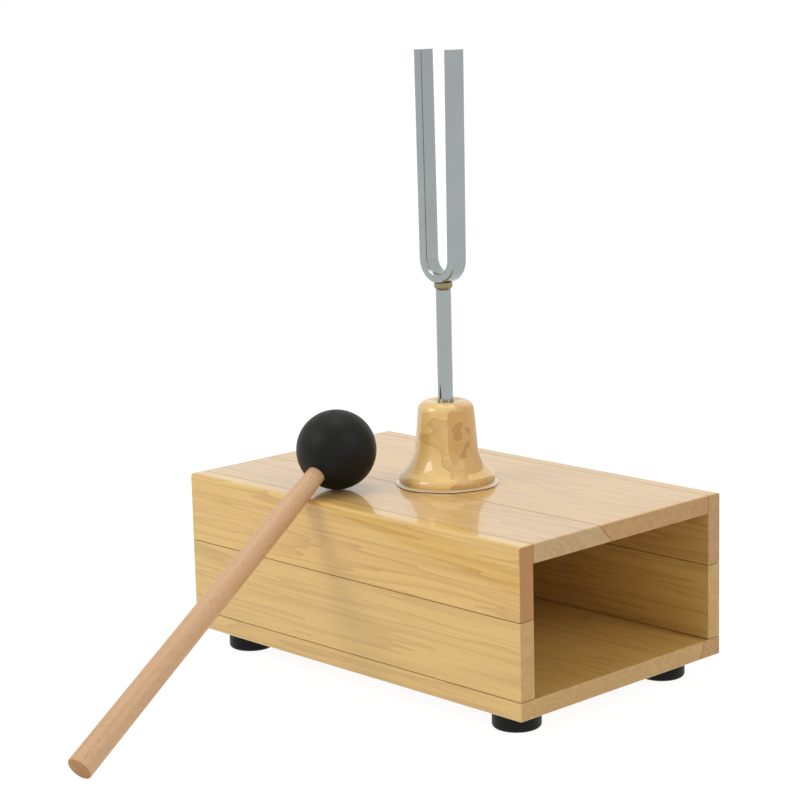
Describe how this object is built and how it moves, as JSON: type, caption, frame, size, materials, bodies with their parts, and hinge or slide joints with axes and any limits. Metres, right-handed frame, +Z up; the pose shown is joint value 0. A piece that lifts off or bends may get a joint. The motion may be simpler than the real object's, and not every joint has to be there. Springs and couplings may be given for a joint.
{
  "type": "tuning fork with resonator box",
  "caption": "Steel tuning fork in a turned wooden boss on an open-ended wooden resonator box with rubber feet, and a rubber-headed mallet leaning on the box.",
  "frame": {"origin": "the middle of the box's underside, straight below the fork's axis", "axes": "+X to the box's open end, -Y to the long side that the mallet leans over, +Z up along the fork"},
  "size_m": [0.18, 0.2389, 0.2375],
  "materials": {
    "golden_wood": "gloss varnish over straight golden grain",
    "pale_wood": "gloss varnish over pale yellow grain",
    "orange_wood": "gloss varnish, with orange-brown end grain",
    "turned_wood": "gloss varnish over swirling turned grain",
    "beech": "bare, fine-sanded",
    "clear_glue": "dried clear glue",
    "black_rubber": "matt moulded rubber",
    "plated_steel": "bright plating or polish",
    "braze": "dull olive-brown bead",
    "screw_steel": null
  },
  "bodies": {
    "resonator_box": {"bottom_board_wide": "pale_wood", "bottom_board_strip": "golden_wood", "near_side_lower": "pale_wood", "near_side_upper": "orange_wood", "far_side_lower": "pale_wood", "far_side_upper": "golden_wood", "top_board_near": "pale_wood", "top_board_far": "golden_wood", "end_board": "pale_wood", "fork_boss": "turned_wood", "boss_glue_fillet": "clear_glue", "boss_screw": "screw_steel", "foot_open_near": "black_rubber", "foot_open_far": "black_rubber", "foot_closed_near": "black_rubber", "foot_closed_far": "black_rubber", "foot_screw_open_near": "screw_steel", "foot_screw_open_far": "screw_steel", "foot_screw_closed_near": "screw_steel", "foot_screw_closed_far": "screw_steel"},
    "fork": {"fork_bar": "plated_steel", "fork_braze": "braze", "fork_stem": "plated_steel"},
    "mallet": {"mallet_ball": "black_rubber", "mallet_stick": "beech"}
  },
  "joints": [
    {"name": "fork_lift", "type": "slide", "parent": "resonator_box", "child": "fork", "axis": [0, 0, 1], "range_m": [0, 0.03]},
    {"name": "mallet_lift", "type": "slide", "parent": "resonator_box", "child": "mallet", "axis": [0, -0.6, 0.8], "range_m": [0, 0.07]}
  ]
}
